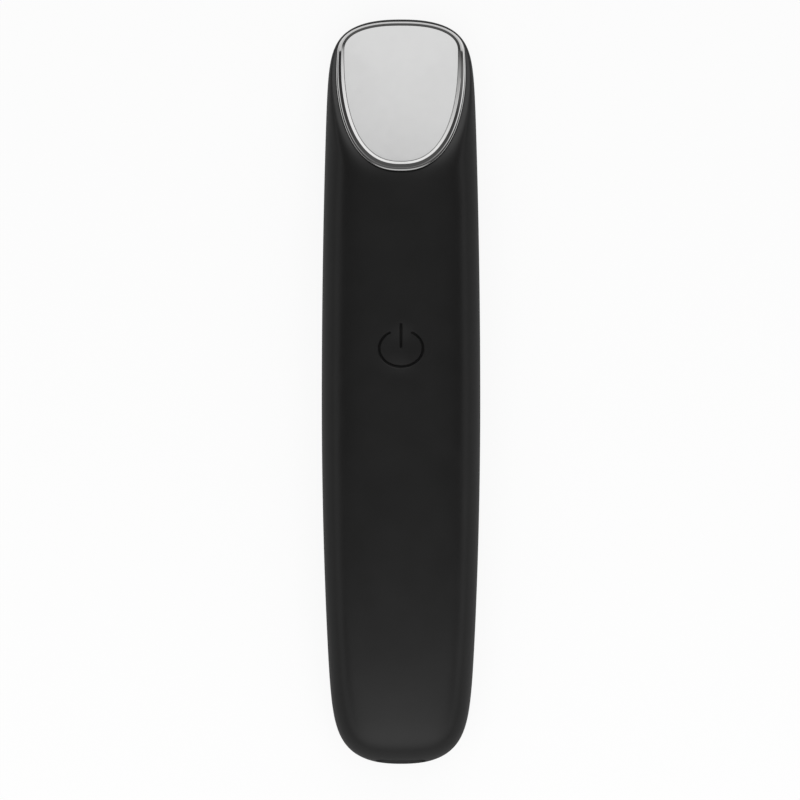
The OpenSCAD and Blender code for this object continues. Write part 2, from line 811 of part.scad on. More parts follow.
// A round lead along a smooth curve through a list of points
function curve_pt(p, i, s) =
    let (a = p[max(i - 1, 0)], b = p[i], c = p[i + 1], d = p[min(i + 2, len(p) - 1)])
    0.5 * (2 * b + s * (c - a) + s * s * (2 * a - 5 * b + 4 * c - d)
        + s * s * s * (3 * b - a - 3 * c + d));
function curve(p) = concat(
    [for (i = [0 : len(p) - 2], s = [0 : 1 / lead_steps : 1 - 0.5 / lead_steps]) curve_pt(p, i, s)],
    [p[len(p) - 1]]
);
module lead(points) {
    p = curve(points);
    last = len(p) - 1;
    skin([
        for (i = [0 : last])
            let (t = p[min(i + 1, last)] - p[max(i - 1, 0)],
                 side = cross(t, [1, 0, 0]),
                 n = side / norm(side),
                 m = cross(n, t / norm(t)))
            [for (a = [0 : 360 / lead_sides : 359]) p[i] + lead_r * (cos(a) * n + sin(a) * m)]
    ]);
}

module battery_leads() {
    y = guard_y + guard.y;
    z = cell_z + cell_t / 2;
    for (x = [-2, 2]) color(x < 0 ? "#b02a22" : "#26282b") lead([
        [x, y + solder, z], [x, y + 1.4, z + 0.2], [x, y + 2.8, z + 1.4],
        [x, y + 3.2, board_z - 1], [x, y + 3.2, board_z - solder]
    ]);
}

module motor_leads() {
    for (x = [-1, 1]) color(x < 0 ? "#b02a22" : "#26282b") lead([
        [2.4 * x, motor_back_y - solder, motor_z + 1.5], [2.4 * x, motor_back_y - 0.8, motor_z + 1.5],
        [3.2 * x, motor_back_y - 2, motor_z + 2.4],
        [3.6 * x, mid_boss_y, board_top], [3.6 * x, board_head_y, board_top + 1.3],
        [3.6 * x, board_head_y - 2, board_top + 0.9], [3.6 * x, board_head_y - 2, board_top + solder]
    ]);
}

// A lead from the head back to the board, past one side of the motor
module head_lead(x, v, h) {
    beside = sign(x) * (side_run + 0.7 * abs(x));
    lead([
        on_slant(x, v, h), on_slant(x, v, h - 0.8), on_slant(x, lead_v, h - 1.6),
        on_slant(1.2 * x, lead_v - 0.4, shelf_h - carrier_depth - 1),
        [1.3 * x, slant_y + 2, motor_z + 6],
        [beside, slant_y - 2.2 + 0.7 * abs(x), motor_z + 5.2],
        [beside, motor_back_y + 3, motor_z + 5],
        [beside, mid_boss_y, motor_z + 5],
        [beside - 1.2 * sign(x), board_head_y - 0.6, board_top + 1.3],
        [beside - 1.2 * sign(x), board_head_y - 1.8, board_top + 0.9],
        [beside - 1.2 * sign(x), board_head_y - 1.8, board_top + solder]
    ]);
}

module heater_leads() {
    color("#c8c4b8") for (x = [1, 2.6]) head_lead(x, lead_v, heater_h - solder);
}

module thermistor_leads() {
    color("#d8d8d4") for (x = [-1, -2.6])
        head_lead(x, bead_v, heater_h - 2 * bead_r - solder);
}

silicone_sleeve();
front_shell();
back_shell();
shell_screws();
trim_ring();
massage_plate();
heater_film();
insulation_pad();
thermistor();
head_carrier();
head_screws();
button_membrane();
button_plunger();
switch_stem();
push_switch();
motor_can();
motor_end_cap();
motor_boots();
motor_shaft();
eccentric_weight();
main_board();
board_screws();
charge_controller();
control_chip();
power_parts();
status_led();
usb_shell();
usb_tongue();
battery_cell();
battery_guard_board();
battery_pads();
battery_leads();
motor_leads();
heater_leads();
thermistor_leads();
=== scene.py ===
"""Looks of the heated eye massager wand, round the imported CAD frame.

The wand lies on its flat back: X across, Y towards the head, Z out of the front. Shapes are worked
out in millimetres from the same curves as the CAD part, and turned to metres when a mesh is made.
"""

import json
import math

import bmesh
import bpy
import numpy as np
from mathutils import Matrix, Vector


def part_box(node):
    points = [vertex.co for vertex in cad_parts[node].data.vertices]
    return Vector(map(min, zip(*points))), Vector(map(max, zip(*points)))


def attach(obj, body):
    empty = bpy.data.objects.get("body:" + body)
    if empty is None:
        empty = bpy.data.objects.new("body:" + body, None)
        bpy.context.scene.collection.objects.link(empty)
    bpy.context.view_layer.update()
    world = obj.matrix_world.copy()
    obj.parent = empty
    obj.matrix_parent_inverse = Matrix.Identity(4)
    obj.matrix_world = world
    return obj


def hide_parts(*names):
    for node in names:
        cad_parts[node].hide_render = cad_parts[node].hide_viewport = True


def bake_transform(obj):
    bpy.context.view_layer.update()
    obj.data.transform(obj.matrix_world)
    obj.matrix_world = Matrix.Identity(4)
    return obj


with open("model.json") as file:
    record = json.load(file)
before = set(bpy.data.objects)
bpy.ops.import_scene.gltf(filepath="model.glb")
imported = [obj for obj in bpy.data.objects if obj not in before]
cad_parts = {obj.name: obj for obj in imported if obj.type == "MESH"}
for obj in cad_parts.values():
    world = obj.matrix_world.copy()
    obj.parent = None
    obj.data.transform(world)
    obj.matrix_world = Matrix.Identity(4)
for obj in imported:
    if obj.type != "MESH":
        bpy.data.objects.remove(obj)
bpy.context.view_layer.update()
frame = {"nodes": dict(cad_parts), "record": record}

MM = 0.001


def box_mm(node):
    """Lowest and highest corner of a CAD node, in millimetres."""
    low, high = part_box(node)
    return np.array(low) / MM, np.array(high) / MM


# ---------------------------------------------------------------- body lines, in millimetres
# A pair of powers says how far a curve runs before it closes, and how round it closes.
SLEEVE_LOW, SLEEVE_HIGH = box_mm("silicone_sleeve")
HALF_L = (SLEEVE_HIGH[1] - SLEEVE_LOW[1]) / 2
BODY_W = 29.8
HALF_W = BODY_W / 2
BODY_T = 20.0
WAIST_SHIFT = 2.0                # from the middle to the widest point, towards the tail
SIDE_R_HEAD = 1700.0             # radii of the bowed sides, from there to the head and to the tail
SIDE_R_TAIL = 940.0
TIP_OUTLINE = (21.4, 2.33)
TAIL_OUTLINE = (18.0, 2.38)
TIP_PROFILE = (22.0, 2.2)
TAIL_PROFILE = (14.0, 2.2)
SECTION_POWER = 2.85             # squareness of the cross-section
CROWN_Y = 15.0                   # the highest line of the front, and its radius along the wand
CROWN_R = 1000.0
FLAT_DEPTH = 0.6                 # how deep the flat back cuts into the rounded section
TIP_LINE_Z, TIP_DROP_L = 4.8, 36.0       # the widest line's height at the end, and where it drops
TAIL_LINE_Z, TAIL_DROP_L = 6.4, 30.0
SLEEVE_T = 1.4                   # wall of the skin
EDGE_SOFT = 1.2                  # height over which the rim of the slanted face is rounded
FLAT_SOFT = 0.3                  # the same for the rim of the flat back
LINING_SOFT = 0.1                # the same for both rims inside the skin

# Head. The plate and the ring are drawn SEAM_OUT outside the solid ones, where the photo has the
# seam, so the bands beside the plate are as much narrower.
HEAD_L = 28.8
HEAD_TILT = math.radians(25)
SEAM_OUT = 0.25
PLATE_SET = 2.0 - SEAM_OUT       # from the start of the slant to the plate
TIP_BAND = 1.9 - SEAM_OUT        # from the plate to the tip
SIDE_BAND = 4.4 - SEAM_OUT       # from the plate to the widest point of the wand, across it
PLATE_W = BODY_W - 2 * SIDE_BAND
PLATE_WIDE = 5.3 + SEAM_OUT      # from the plate's tip edge to its widest line
PLATE_POWER = 2.42               # squareness of its outline
PLATE_RISE = 0.75                # height of its edge above the slanted face
PLATE_CROWN = 0.35               # height of its dome
PLATE_EDGE_H = 0.08              # its rounded edge
PLATE_EDGE_W = 0.1
PLATE_T = 0.6                    # its wall
RING_W = 1.68
RING_PINCH = 0.63                # how much narrower the ring is along the tip
RING_CORNER = 0.5                # from the plate's tip edge to where the ring starts to widen
RING_PINCH_SPAN = 7.0            # the length over which it widens from there
RING_RISE = 0.92                 # height of its crest
RING_BEVEL = 0.2                 # how far it falls from the crest to the plate
RING_BEAD_H = 0.6                # height of the bead outside the crest
RING_CREST = 0.34                # places of the crest and the bead's top, as shares of its width
RING_BEAD = 0.69
SEAT_GAP = 0.03                  # between the ring and what it touches
SHELF_H = -1.5                   # height of the shelf that ring and plate stand on

# Button and charging inlet
BUTTON_LOW, BUTTON_HIGH = box_mm("button_membrane")
BUTTON_Y = (BUTTON_LOW[1] + BUTTON_HIGH[1]) / 2
DISH_R = 6.3
DISH_EDGE_R = 6.5                # where the skin ends and the button's face begins
DISH_DEPTH = 0.9
SOCKET_LOW, SOCKET_HIGH = box_mm("usb_shell")
INLET_Z = (SOCKET_LOW[2] + SOCKET_HIGH[2]) / 2
INLET_GAP = 0.3
INLET_W = SOCKET_HIGH[0] - SOCKET_LOW[0] + 2 * INLET_GAP
INLET_H = SOCKET_HIGH[2] - SOCKET_LOW[2] + 2 * INLET_GAP
INLET_CORNER_R = 1.7
INLET_LIP_R = 0.3                # rounding of its mouth
INLET_REACH = 6.0                # how deep its slot runs in from the tail

# How finely the meshes are divided
SKIN_STEPS, SKIN_SIDES = 120, 176
LINING_STEPS, LINING_SIDES = 30, 48
CROWDING = 2.0                   # how strongly the rings gather at the ends
DISH_SIDES = 320
EGG_ANGLES = 360 * np.arange(288) / 288
CORNER_STEPS = 10                # of the inlet's outline
LIP_ANGLES = np.radians(np.linspace(20, 90, 6))      # of the mouth's rounding, from its face
BEAD_ANGLES = np.radians(np.linspace(0, 90, 14))     # of the ring's bead, from its outer edge
PLATE_EDGE_ANGLES = np.radians(np.linspace(0, 90, 9))
DOME_RINGS = 24
CUT_PAST = 5.0                   # how far cutters reach past the surface
OPENING_BELOW = 2.0              # how far the plate's opening is cut below the shelf


def mix(a, b, s):
    return a + (b - a) * s


def ease(s):
    c = np.clip(s, 0, 1)
    return c * c * (3 - 2 * c)


def signed_pow(x, p):
    return np.sign(x) * np.abs(x) ** p


def soft_below(h, limit, soft):
    """h where it is below the limit, else the limit, with the bend between them rounded."""
    d = np.asarray(h, float) - limit
    return limit + np.where(d <= -soft, d, np.where(d >= soft, 0, -((soft - d) ** 2) / (4 * soft)))


def end_share(y, inset, powers):
    """Share of the full section that is left at y, on a body drawn in by inset."""
    u = np.minimum(1, np.abs(y) / (HALF_L - inset))
    return (1 - u ** powers[0]) ** (1 / powers[1])


def half_width(y, inset=0.0):
    from_waist = y + WAIST_SHIFT
    side_r = np.where(from_waist > 0, SIDE_R_HEAD, SIDE_R_TAIL)
    side = HALF_W - inset - from_waist ** 2 / (2 * side_r)
    closing = np.where(y > 0, end_share(y, inset, TIP_OUTLINE), end_share(y, inset, TAIL_OUTLINE))
    return side * closing


def front_z(y):
    return BODY_T - (y - CROWN_Y) ** 2 / (2 * CROWN_R)


def line_z(y):
    """Height of the widest line: midway up the body, and lower at both ends."""
    middle = (front_z(y) - FLAT_DEPTH) / 2
    at_head = mix(middle, TIP_LINE_Z, ease((y - HALF_L + TIP_DROP_L) / TIP_DROP_L))
    at_tail = mix(middle, TAIL_LINE_Z, ease((-HALF_L + TAIL_DROP_L - y) / TAIL_DROP_L))
    return np.where(y > 0, at_head, at_tail)


def depth_share(y, inset=0.0):
    return np.where(y > 0, end_share(y, inset, TIP_PROFILE), end_share(y, inset, TAIL_PROFILE))


def front_surface(x, y):
    """Height of the front above (x, y), away from the slanted face."""
    reach = np.minimum(1, np.abs(x) / half_width(y)) ** SECTION_POWER
    rise = (front_z(y) - line_z(y)) * depth_share(y)
    return line_z(y) + rise * (1 - reach) ** (1 / SECTION_POWER)


# ---------------------------------------------------------------- slanted face of the head
SLANT_Y = HALF_L - HEAD_L
SLANT_Z = float(front_z(SLANT_Y))
SLANT_L = HEAD_L / math.cos(HEAD_TILT)
SLANT_OUT = np.array([0, math.sin(HEAD_TILT), math.cos(HEAD_TILT)])
SLANT_DOWN = np.array([0, math.cos(HEAD_TILT), -math.sin(HEAD_TILT)])
PLATE_L = SLANT_L - PLATE_SET - TIP_BAND
EGG_V = PLATE_SET + PLATE_L - PLATE_WIDE


def on_slant(uv, h):
    """Points across (u) and down (v) the slanted face, at height h above it."""
    uv = np.asarray(uv, float)
    h = np.broadcast_to(h, uv.shape[:-1])
    start = np.array([0, SLANT_Y, SLANT_Z])
    across = uv[..., :1] * np.array([1.0, 0, 0])
    return start + across + uv[..., 1:] * SLANT_DOWN + h[..., None] * SLANT_OUT


def egg(a, inset=0.0):
    """Outline of the plate at angles a, in degrees, drawn in by inset. 90 is at the tip."""
    c, s = np.cos(np.radians(a)), np.sin(np.radians(a))
    reach = np.where(s > 0, PLATE_WIDE, PLATE_L - PLATE_WIDE)
    p = 2 / PLATE_POWER
    u = (PLATE_W / 2 - inset) * signed_pow(c, p)
    return np.stack([u, EGG_V + (reach - inset) * signed_pow(s, p)], axis=-1)


def egg_beside(a, out):
    """Points beside the outline of the plate, at a distance out from it."""
    t = egg(a + 1) - egg(a - 1)
    n = np.stack([t[..., 1], -t[..., 0]], axis=-1)
    return egg(a) + np.asarray(out)[..., None] * n / np.linalg.norm(n, axis=-1, keepdims=True)


def ring_width(a):
    """Width of the ring: pinched along the tip, and full further down the slanted face."""
    past_corner = PLATE_SET + PLATE_L - RING_CORNER - egg(a)[..., 1]
    return RING_W - RING_PINCH * np.exp(-((np.maximum(0, past_corner) / RING_PINCH_SPAN) ** 2))


# ---------------------------------------------------------------- mesh helpers
def mesh_object(name, points_mm, faces, sharp_angle=None):
    mesh = bpy.data.meshes.new(name)
    mesh.from_pydata((np.asarray(points_mm) * MM).tolist(), [], faces)
    mesh.validate()
    piece = bpy.data.objects.new(name, mesh)
    bpy.context.scene.collection.objects.link(piece)
    smooth(piece, sharp_angle)
    return piece


def smooth(piece, sharp_angle=None):
    """Smooth shading, with edges sharper than the angle (in degrees) left crisp."""
    mesh = piece.data
    mesh.polygons.foreach_set("use_smooth", [True] * len(mesh.polygons))
    if sharp_angle is not None:
        mesh.set_sharp_from_angle(angle=math.radians(sharp_angle))
    mesh.update()


def ring_faces(rows, sides):
    """Quads between rows of points, each row closed on itself."""
    return [
        (i * sides + j, i * sides + (j + 1) % sides,
         (i + 1) * sides + (j + 1) % sides, (i + 1) * sides + j)
        for i in range(rows - 1) for j in range(sides)
    ]


def capped_rings(name, rings, start_pole, end_pole, sharp_angle=None):
    """A closed skin through rings of points, closed by a point at each end."""
    rings = np.asarray(rings)
    rows, sides = rings.shape[:2]
    points = np.concatenate([rings.reshape(-1, 3), [start_pole, end_pole]])
    start, end = rows * sides, rows * sides + 1
    last = (rows - 1) * sides
    faces = ring_faces(rows, sides)
    faces += [(start, (j + 1) % sides, j) for j in range(sides)]
    faces += [(end, last + j, last + (j + 1) % sides) for j in range(sides)]
    piece = mesh_object(name, points, faces, sharp_angle)
    face_outwards(piece)
    return piece


def face_outwards(piece):
    work = bmesh.new()
    work.from_mesh(piece.data)
    bmesh.ops.recalc_face_normals(work, faces=work.faces)
    work.to_mesh(piece.data)
    work.free()


def cut(piece, *cutters):
    """Takes the cutters away from the piece, for good."""
    for cutter in cutters:
        step = piece.modifiers.new("cut", "BOOLEAN")
        step.operation = "DIFFERENCE"
        step.solver = "EXACT"
        step.object = cutter
        bpy.context.view_layer.update()
        result = bpy.data.meshes.new_from_object(
            piece.evaluated_get(bpy.context.evaluated_depsgraph_get()))
        piece.modifiers.clear()
        piece.data = result
    for cutter in cutters:
        bpy.data.objects.remove(cutter)


# ---------------------------------------------------------------- body
def body_rings(inset, steps, sides):
    """Sections of the whole rounded body from tail to tip, before the slant and the flat back."""
    s = np.linspace(-1, 1, 2 * steps + 1)[1:-1]
    y = (HALF_L - inset) * np.sign(s) * (1 - (1 - np.abs(s)) ** CROWDING)
    a = 2 * np.pi * np.arange(sides) / sides
    p = 2 / SECTION_POWER
    x = half_width(y, inset)[:, None] * signed_pow(np.cos(a), p)
    share = depth_share(y, inset)[:, None]
    middle = line_z(y)[:, None]
    rise = (front_z(y)[:, None] - middle - inset) * share
    fall = (middle + FLAT_DEPTH - inset) * share
    z = middle + np.where(np.sin(a) > 0, rise, fall) * signed_pow(np.sin(a), p)
    return np.stack([x, np.broadcast_to(y[:, None], x.shape), z], axis=-1)


def trimmed(points, inset, edge_soft, flat_soft):
    """The body's points brought onto the slanted face and the flat back, with rounded rims."""
    h = (points - np.array([0, SLANT_Y, SLANT_Z])) @ SLANT_OUT
    points = points + (soft_below(h, -inset, edge_soft) - h)[..., None] * SLANT_OUT
    points[..., 2] = -soft_below(-points[..., 2], -inset, flat_soft)
    return points


def body_skin(name, inset, steps, sides, edge_soft, flat_soft):
    rings = trimmed(body_rings(inset, steps, sides), inset, edge_soft, flat_soft)
    ends = np.array([[0, y, float(line_z(np.array(y)))] for y in (inset - HALF_L, HALF_L - inset)])
    return capped_rings(name, rings, *trimmed(ends, inset, edge_soft, flat_soft))


def slant_prism(name, outline, low, high):
    """A straight prism on the slanted face, as a cutter."""
    rings = [on_slant(outline, h) for h in (low, high)]
    middle = outline.mean(axis=0)
    return capped_rings(name, rings, on_slant(middle, low), on_slant(middle, high))


def upright(name, radius, low, high, sides):
    """An upright round cutter at the button."""
    a = 2 * np.pi * np.arange(sides) / sides
    circle = np.stack([radius * np.cos(a), BUTTON_Y + radius * np.sin(a)], axis=-1)
    rings = [np.column_stack([circle, np.full(sides, z)]) for z in (low, high)]
    return capped_rings(name, rings, [0, BUTTON_Y, low], [0, BUTTON_Y, high])


def inlet_outline(grow):
    """Rounded outline of the inlet, (x, z), grown by a margin."""
    corner_r = INLET_CORNER_R + grow
    half_w = INLET_W / 2 + grow - corner_r
    half_h = INLET_H / 2 + grow - corner_r
    points = []
    for quarter, (sx, sz) in enumerate([(1, 1), (-1, 1), (-1, -1), (1, -1)]):
        for i in range(CORNER_STEPS + 1):
            a = math.pi / 2 * (quarter + i / CORNER_STEPS)
            points.append((sx * half_w + corner_r * math.cos(a),
                           sz * half_h + corner_r * math.sin(a)))
    return np.array(points) + np.array([0, INLET_Z])


def tail_end(x, z):
    """Where the tail's surface lies along Y, over points (x, z) of its end, found by halving."""
    low = np.full(np.shape(x), -HALF_L)
    high = np.full(np.shape(x), -HALF_L / 2)
    for _ in range(40):
        y = (low + high) / 2
        up = z > line_z(y)
        depth = np.where(up, front_z(y) - line_z(y), line_z(y) + FLAT_DEPTH) * depth_share(y)
        inside = (np.abs(x) / half_width(y)) ** SECTION_POWER
        inside = inside + (np.abs(z - line_z(y)) / depth) ** SECTION_POWER
        high = np.where(inside < 1, y, high)
        low = np.where(inside < 1, low, y)
    return high


def inlet_cutter(name):
    """The inlet's slot with a rounded mouth that follows the surface of the tail."""
    rings = []
    for a in LIP_ANGLES:
        outline = inlet_outline(INLET_LIP_R * (1 - math.sin(a)))
        depth = INLET_LIP_R * (1 - math.cos(a))
        y = tail_end(outline[:, 0], outline[:, 1]) + depth
        rings.append(np.stack([outline[:, 0], y, outline[:, 1]], axis=-1))
    outline = inlet_outline(0)
    ahead = rings[0].copy()
    ahead[:, 1] = -HALF_L - CUT_PAST
    inner_end = np.full(len(outline), INLET_REACH - HALF_L)
    behind = np.stack([outline[:, 0], inner_end, outline[:, 1]], axis=-1)
    rings = [ahead] + rings + [behind]
    return capped_rings(name, rings, [0, ahead[0, 1], INLET_Z], [0, behind[0, 1], INLET_Z])


def build_skin():
    """The sleeve: a hollow skin with openings for plate and ring, button and inlet."""
    skin = body_skin("sleeve_skin", 0.0, SKIN_STEPS, SKIN_SIDES, EDGE_SOFT, FLAT_SOFT)
    foot = egg_beside(EGG_ANGLES, ring_width(EGG_ANGLES) + SEAT_GAP)
    cut(skin,
        body_skin("lining", SLEEVE_T, LINING_STEPS, LINING_SIDES, LINING_SOFT, LINING_SOFT),
        slant_prism("plate_opening", foot, SHELF_H - SEAT_GAP - OPENING_BELOW, BODY_T),
        upright("button_opening", DISH_EDGE_R, BODY_T / 2, BODY_T + CUT_PAST, DISH_SIDES),
        inlet_cutter("inlet_opening"))
    smooth(skin, sharp_angle=40)
    return skin


# ---------------------------------------------------------------- button
FACE_T = (0.7, 0.88)                 # at the rim and in the middle
FACE_START_R = 0.15                  # radius of the face's first ring of points
ICON_REACH_R = 5.2                   # the face's rings lie closest together up to here
ICON_RINGS, RIM_RINGS = 76, 22
RIM_START = 0.05                     # from there to the first of the wider rings
BACK_EVERY = 8                       # the back has one ring for so many of the front
ICON_MIDDLE = np.array([0.0, 0.2])   # of the sign's open ring, from the middle of the dish
ICON_HALF = np.array([4.1, 3.45])    # half the ring's width and height
ICON_STROKE = 0.52                   # width and depth of the sign's grooves
ICON_DEPTH = 0.42
ICON_OPEN_X = 2.15                   # half the opening of the ring at its top
ICON_BAR = (0.5, 4.75)               # ends of the upright bar, from the middle of the dish


def icon_distance(x, y):
    """Distance from the middle line of the power sign."""
    px, py = np.abs(x - ICON_MIDDLE[0]), y - ICON_MIDDLE[1]
    start = math.asin(ICON_OPEN_X / ICON_HALF[0])
    t = np.arctan2(px / ICON_HALF[0], py / ICON_HALF[1])
    t = np.clip(t, start, math.pi)
    for _ in range(12):              # steps towards the nearest point of the open ring
        ex, ey = ICON_HALF[0] * np.sin(t), ICON_HALF[1] * np.cos(t)
        dx, dy = ICON_HALF[0] * np.cos(t), -ICON_HALF[1] * np.sin(t)
        t = t + ((px - ex) * dx + (py - ey) * dy) / (dx * dx + dy * dy)
        t = np.clip(t, start, math.pi)
    arc = np.hypot(px - ICON_HALF[0] * np.sin(t), py - ICON_HALF[1] * np.cos(t))
    bar_y = np.clip(y, *ICON_BAR)
    return np.minimum(arc, np.hypot(x, y - bar_y))


def icon_share(x, y):
    """1 in the grooves of the power sign, 0 beside them."""
    return 1 - np.clip(icon_distance(x, y) / (ICON_STROKE / 2), 0, 1) ** 3


def dish_drop(r):
    """How far the dish lies under the front at radius r: a shallow bowl with a soft rim."""
    return DISH_DEPTH * (0.5 + 0.5 * np.cos(np.pi * np.clip(r / DISH_R, 0, 1)))


def build_button():
    """The button's face, with the power sign sunk into it. The grooves' share goes to its material,
    which darkens them as painted shade.
    """
    a = 2 * np.pi * np.arange(DISH_SIDES) / DISH_SIDES
    radii = np.concatenate([np.linspace(FACE_START_R, ICON_REACH_R, ICON_RINGS),
                            np.linspace(ICON_REACH_R + RIM_START, DISH_EDGE_R, RIM_RINGS)])
    x = radii[:, None] * np.cos(a)
    y = radii[:, None] * np.sin(a)
    front = front_surface(x, BUTTON_Y + y)
    groove = icon_share(x, y)
    top = front - dish_drop(radii)[:, None] - ICON_DEPTH * groove
    back_radii = radii[::-BACK_EVERY]
    back_x, back_y = back_radii[:, None] * np.cos(a), back_radii[:, None] * np.sin(a)
    back_drop = dish_drop(back_radii)
    back_drop = back_drop + mix(*FACE_T, back_drop / DISH_DEPTH)
    back = front_surface(back_x, BUTTON_Y + back_y) - back_drop[:, None]
    rings = np.concatenate([np.stack([x, BUTTON_Y + y, top], axis=-1),
                            np.stack([back_x, BUTTON_Y + back_y, back], axis=-1)])
    poles = [[0, BUTTON_Y, top[0].mean()], [0, BUTTON_Y, back[-1].mean()]]
    face = capped_rings("button_face", rings, *poles, sharp_angle=60)
    # Painted shade: the grooves' share, which the material uses to darken the power sign's grooves
    # as if shaded.
    shade = np.zeros(len(face.data.vertices), np.float32)
    shade[:groove.size] = groove.ravel()
    face.data.attributes.new("groove", "FLOAT", "POINT").data.foreach_set("value", shade)
    return face


# ---------------------------------------------------------------- ring and plate
def build_ring():
    """The trim ring: one section swept round the plate. Short steps keep its crest crisp."""
    width = ring_width(EGG_ANGLES)
    crest = mix(SEAT_GAP, width, RING_CREST)
    bead = mix(SEAT_GAP, width, RING_BEAD)
    profile = [(np.full_like(width, SEAT_GAP), SHELF_H), (width, SHELF_H)]
    profile += [(mix(bead, width, math.cos(q)), RING_BEAD_H * math.sin(q))
                for q in BEAD_ANGLES]
    profile += [(mix(bead, crest, k), mix(RING_BEAD_H, RING_RISE, k)) for k in (0.1, 0.5, 0.95, 1)]
    profile += [(mix(crest, SEAT_GAP, k), RING_RISE - RING_BEVEL * k) for k in (0.06, 0.5, 0.94, 1)]
    rows = np.array([on_slant(egg_beside(EGG_ANGLES, out), h) for out, h in profile])
    sections, sides = rows.shape[:2]
    faces = ring_faces(sections, sides)
    last = (sections - 1) * sides
    faces += [(last + j, last + (j + 1) % sides, (j + 1) % sides, j) for j in range(sides)]
    ring = mesh_object("trim_ring_polished", rows.reshape(-1, 3), faces, sharp_angle=50)
    face_outwards(ring)
    return ring


def build_plate():
    """The plate: a shallow cup with a rounded edge and a slight dome."""
    middle = np.array([0, PLATE_SET + PLATE_L / 2])
    under_h = PLATE_RISE - PLATE_T
    rows = [(under_h, PLATE_T, 1.0), (SHELF_H, PLATE_T, 1.0), (SHELF_H, 0.0, 1.0)]
    rows += [(PLATE_RISE - PLATE_EDGE_H * (1 - math.sin(q)), PLATE_EDGE_W * (1 - math.cos(q)), 1.0)
             for q in PLATE_EDGE_ANGLES]
    rows += [(PLATE_RISE + PLATE_CROWN * (1 - k * k), PLATE_EDGE_W, k)
             for k in np.linspace(1, 0, DOME_RINGS + 2)[1:-1]]
    rings = [on_slant(mix(middle, egg(EGG_ANGLES, inset), k), h) for h, inset, k in rows]
    return capped_rings("plate_dome", rings, on_slant(middle, under_h),
                        on_slant(middle, PLATE_RISE + PLATE_CROWN), sharp_angle=50)


# ---------------------------------------------------------------- materials
NOISE_SPAN = (0.3, 0.7)          # between which most of a noise lies


def new_material(name):
    """A material with its shader and the object's own coordinates, in metres."""
    material = bpy.data.materials.new(name)
    material.use_nodes = True
    tree = material.node_tree
    shader = tree.nodes["Principled BSDF"]
    place = tree.nodes.new("ShaderNodeTexCoord").outputs["Object"]
    return material, tree, shader, place


def noise(tree, place, size_mm, detail=3.0):
    """Noise whose features are about size_mm across."""
    node = tree.nodes.new("ShaderNodeTexNoise")
    node.inputs["Scale"].default_value = 1 / (size_mm * MM)
    node.inputs["Detail"].default_value = detail
    tree.links.new(place, node.inputs["Vector"])
    return node.outputs["Fac"]


def ranged(tree, value, low, high):
    """Turns a noise, which stays near the middle, into values from low to high."""
    node = tree.nodes.new("ShaderNodeMapRange")
    node.inputs["From Min"].default_value, node.inputs["From Max"].default_value = NOISE_SPAN
    node.inputs["To Min"].default_value, node.inputs["To Max"].default_value = low, high
    tree.links.new(value, node.inputs["Value"])
    return node.outputs["Result"]


def mixed_colour(tree, share, first, second):
    """first where share is 0, second where it is 1. Each is a colour or a socket."""
    node = tree.nodes.new("ShaderNodeMix")
    node.data_type = "RGBA"
    tree.links.new(share, node.inputs["Factor"])
    for socket, colour in ((node.inputs[6], first), (node.inputs[7], second)):
        if isinstance(colour, bpy.types.NodeSocket):
            tree.links.new(colour, socket)
        else:
            socket.default_value = (*colour, 1)
    return node.outputs[2]


def bump(tree, shader, height, depth_mm, before=None):
    """Gives the shader bumps of a depth, on top of those that came before."""
    node = tree.nodes.new("ShaderNodeBump")
    node.inputs["Distance"].default_value = depth_mm * MM
    tree.links.new(height, node.inputs["Height"])
    if before is not None:
        tree.links.new(before, node.inputs["Normal"])
    tree.links.new(node.outputs["Normal"], shader.inputs["Normal"])
    return node.outputs["Normal"]


def shade_of(colour, factor):
    return tuple(min(1.0, c * factor) for c in colour)


def finish_of(name, colour, rough, metallic=0.0, grain_mm=0.5, grain_depth_mm=0.004, mottle=0.12,
              mottle_mm=6.0, rough_spread=0.06):
    """A surface with a slight change of colour, uneven gloss and a fine grain."""
    material, tree, shader, place = new_material(name)
    shader.inputs["Metallic"].default_value = metallic
    patches = ranged(tree, noise(tree, place, mottle_mm), 0, 1)
    tint = mixed_colour(tree, patches, shade_of(colour, 1 - mottle), shade_of(colour, 1 + mottle))
    tree.links.new(tint, shader.inputs["Base Color"])
    gloss = ranged(tree, noise(tree, place, mottle_mm / 3),
                   rough - rough_spread, rough + rough_spread)
    tree.links.new(gloss, shader.inputs["Roughness"])
    bump(tree, shader, noise(tree, place, grain_mm, 2.0), grain_depth_mm)
    return material


SKIN_COLOUR = (0.008, 0.0079, 0.0079)
# Painted shade: how dark the power sign's grooves are painted, standing in for the shade inside
# them.
GROOVE_SHADE_COLOUR = (0.0004, 0.0004, 0.0004)
SKIN_ROUGH = (0.32, 0.38)
EDGE_ROUGH = 0.85                # where the skin is seen at a grazing angle
EDGE_FACING = (0.08, 0.33)       # where that sets in and is full, as 1 less the cosine


def matt_edge(tree, rough):
    """A soft-touch coating loses its gloss where it is seen at a grazing angle."""
    facing = tree.nodes.new("ShaderNodeLayerWeight").outputs["Facing"]
    step = tree.nodes.new("ShaderNodeMapRange")
    step.interpolation_type = "SMOOTHSTEP"
    step.inputs["From Min"].default_value, step.inputs["From Max"].default_value = EDGE_FACING
    step.inputs["To Max"].default_value = EDGE_ROUGH
    tree.links.new(facing, step.inputs["Value"])
    tree.links.new(rough, step.inputs["To Min"])
    return step.outputs["Result"]


